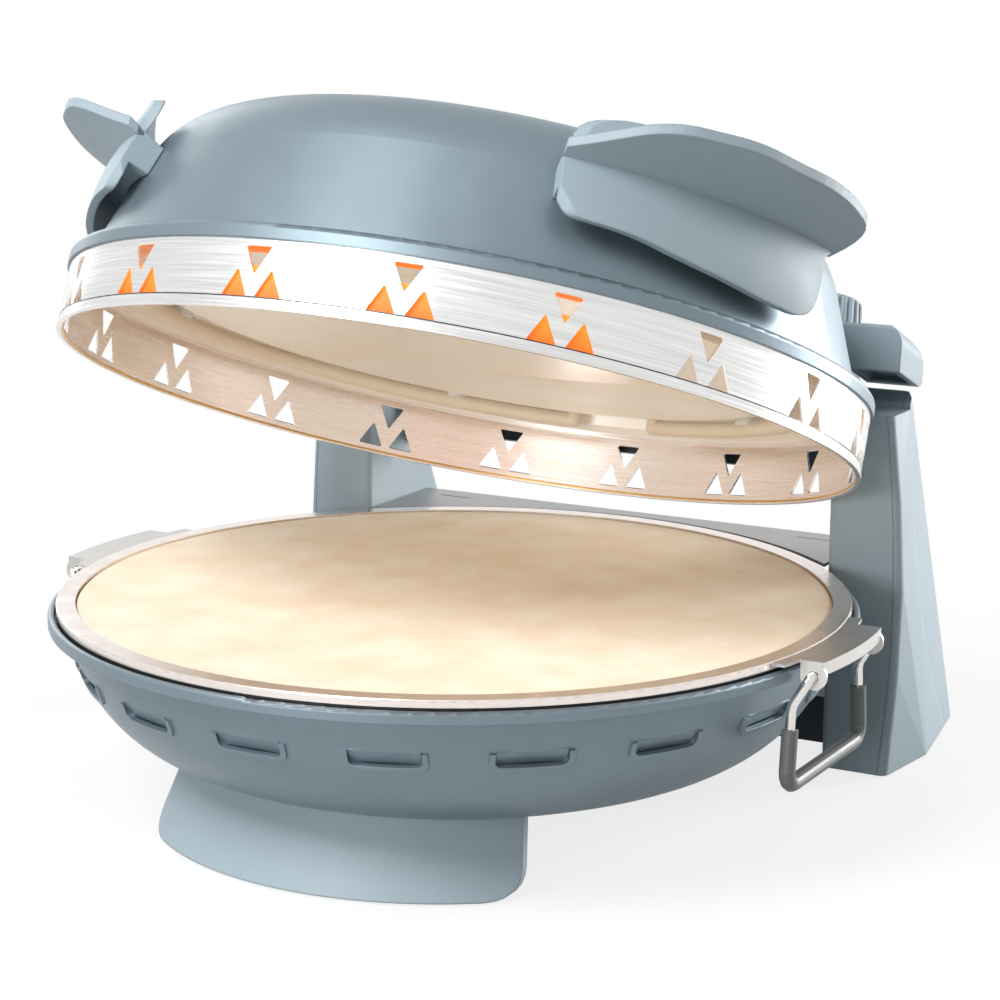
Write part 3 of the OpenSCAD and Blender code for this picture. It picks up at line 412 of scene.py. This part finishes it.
# camera at the photograph's angle
scene = bpy.context.scene
CAMERA_AT = (0.5601, -0.9920, 0.3800)
CAMERA_LENS = 98.85
azimuth, elevation, roll = (math.radians(v) for v in (28.49, 12.09, 0.26))
back = Vector((math.sin(azimuth) * math.cos(elevation), -math.cos(azimuth) * math.cos(elevation),
               math.sin(elevation)))
right = Vector((math.cos(azimuth), math.sin(azimuth), 0))
up = back.cross(right)
rolled_right = right * math.cos(roll) + up * math.sin(roll)
rolled_up = -right * math.sin(roll) + up * math.cos(roll)
cam_data = bpy.data.cameras.new("camera")
cam_data.sensor_width = 36
cam_data.lens = CAMERA_LENS
cam = bpy.data.objects.new("camera", cam_data)
scene.collection.objects.link(cam)
rot = Matrix((rolled_right, rolled_up, back)).transposed().to_4x4()
cam.matrix_world = Matrix.Translation(CAMERA_AT) @ rot
scene.camera = cam

# floor, world and lights
floor_mesh = bpy.data.meshes.new("floor")
HALF = 6.0
corners = [(-HALF, -HALF, 0), (HALF, -HALF, 0), (HALF, HALF, 0), (-HALF, HALF, 0)]
floor_mesh.from_pydata(corners, [], [(0, 1, 2, 3)])
fm = Mat("floor", (0.3, 0.3, 0.3, 1), 0.8)
ft = fm.t
seen = ft.nodes.new("ShaderNodeEmission")
seen.inputs["Color"].default_value = (1, 1, 1, 1)
pale = ft.nodes.new("ShaderNodeBsdfDiffuse")
pale.inputs["Color"].default_value = (0.96, 0.96, 0.96, 1)
dist = fm.node("ShaderNodeVectorMath", operation="LENGTH")
fm.link(fm.co.outputs["Object"], dist.inputs[0])
# the camera sees the shadow near the object, and plain white further out
fade = fm.span(dist.outputs["Value"], 0.2, 0.55, 0.8, 1.0)
white = ft.nodes.new("ShaderNodeMixShader")
fm.link(fade, white.inputs["Fac"])
fm.link(pale.outputs["BSDF"], white.inputs[1])
fm.link(seen.outputs["Emission"], white.inputs[2])
# what glossy faces mirror: darker under the object, white further out
under = fm.span(dist.outputs["Value"], 0.15, 0.5, 0.1, 1.0)
mirrored = ft.nodes.new("ShaderNodeMixShader")
fm.link(under, mirrored.inputs["Fac"])
fm.link(pale.outputs["BSDF"], mirrored.inputs[1])
fm.link(seen.outputs["Emission"], mirrored.inputs[2])
path = ft.nodes.new("ShaderNodeLightPath")
glossy_mix = ft.nodes.new("ShaderNodeMixShader")
fm.link(path.outputs["Is Glossy Ray"], glossy_mix.inputs["Fac"])
fm.link(fm.b.outputs["BSDF"], glossy_mix.inputs[1])
fm.link(mirrored.outputs["Shader"], glossy_mix.inputs[2])
floor_mix = ft.nodes.new("ShaderNodeMixShader")
fm.link(path.outputs["Is Camera Ray"], floor_mix.inputs["Fac"])
fm.link(glossy_mix.outputs["Shader"], floor_mix.inputs[1])
fm.link(white.outputs["Shader"], floor_mix.inputs[2])
fm.link(floor_mix.outputs["Shader"], ft.nodes["Material Output"].inputs["Surface"])
floor_mesh.materials.append(fm.m)
floor = bpy.data.objects.new("floor", floor_mesh)
scene.collection.objects.link(floor)

world = bpy.data.worlds.new("studio")
scene.world = world
world.use_nodes = True
wt = world.node_tree
wt.nodes.clear()
out = wt.nodes.new("ShaderNodeOutputWorld")
lp = wt.nodes.new("ShaderNodeLightPath")
bg_seen = wt.nodes.new("ShaderNodeBackground")
bg_light = wt.nodes.new("ShaderNodeBackground")
bg_seen.inputs["Color"].default_value = (1, 1, 1, 1)
bg_seen.inputs["Strength"].default_value = 1.0
bg_light.inputs["Color"].default_value = (1, 1, 1, 1)
bg_light.inputs["Strength"].default_value = 0.25
mixw = wt.nodes.new("ShaderNodeMixShader")
seen_ray = wt.nodes.new("ShaderNodeMath")
seen_ray.operation = "MAXIMUM"
wt.links.new(lp.outputs["Is Camera Ray"], seen_ray.inputs[0])
wt.links.new(lp.outputs["Is Glossy Ray"], seen_ray.inputs[1])
wt.links.new(seen_ray.outputs["Value"], mixw.inputs["Fac"])
wt.links.new(bg_light.outputs["Background"], mixw.inputs[1])
wt.links.new(bg_seen.outputs["Background"], mixw.inputs[2])
wt.links.new(mixw.outputs["Shader"], out.inputs["Surface"])


def area(name, at, look, size, power):
    """A white soft box at a place, turned to what it looks at."""
    ld = bpy.data.lights.new(name, "AREA")
    ld.shape = "RECTANGLE"
    ld.size, ld.size_y = size
    ld.energy = power
    lo = bpy.data.objects.new(name, ld)
    scene.collection.objects.link(lo)
    d = Vector(look) - Vector(at)
    lo.matrix_world = Matrix.Translation(at) @ d.to_track_quat("-Z", "Y").to_matrix().to_4x4()


area("key", (-0.25, -1.2, 1.45), (0, 0, 0.12), (0.8, 0.7), 30)
area("front", (-0.2, -2.2, 0.5), (0, 0, 0.12), (0.8, 0.6), 17)
area("right", (1.15, 1.5, 0.3), (0.1, 0.1, 0.12), (0.7, 0.8), 40)
area("back_left", (-1.5, 0.9, 0.7), (0, 0, 0.2), (0.8, 1.0), 5)

scene.view_settings.view_transform = "Standard"
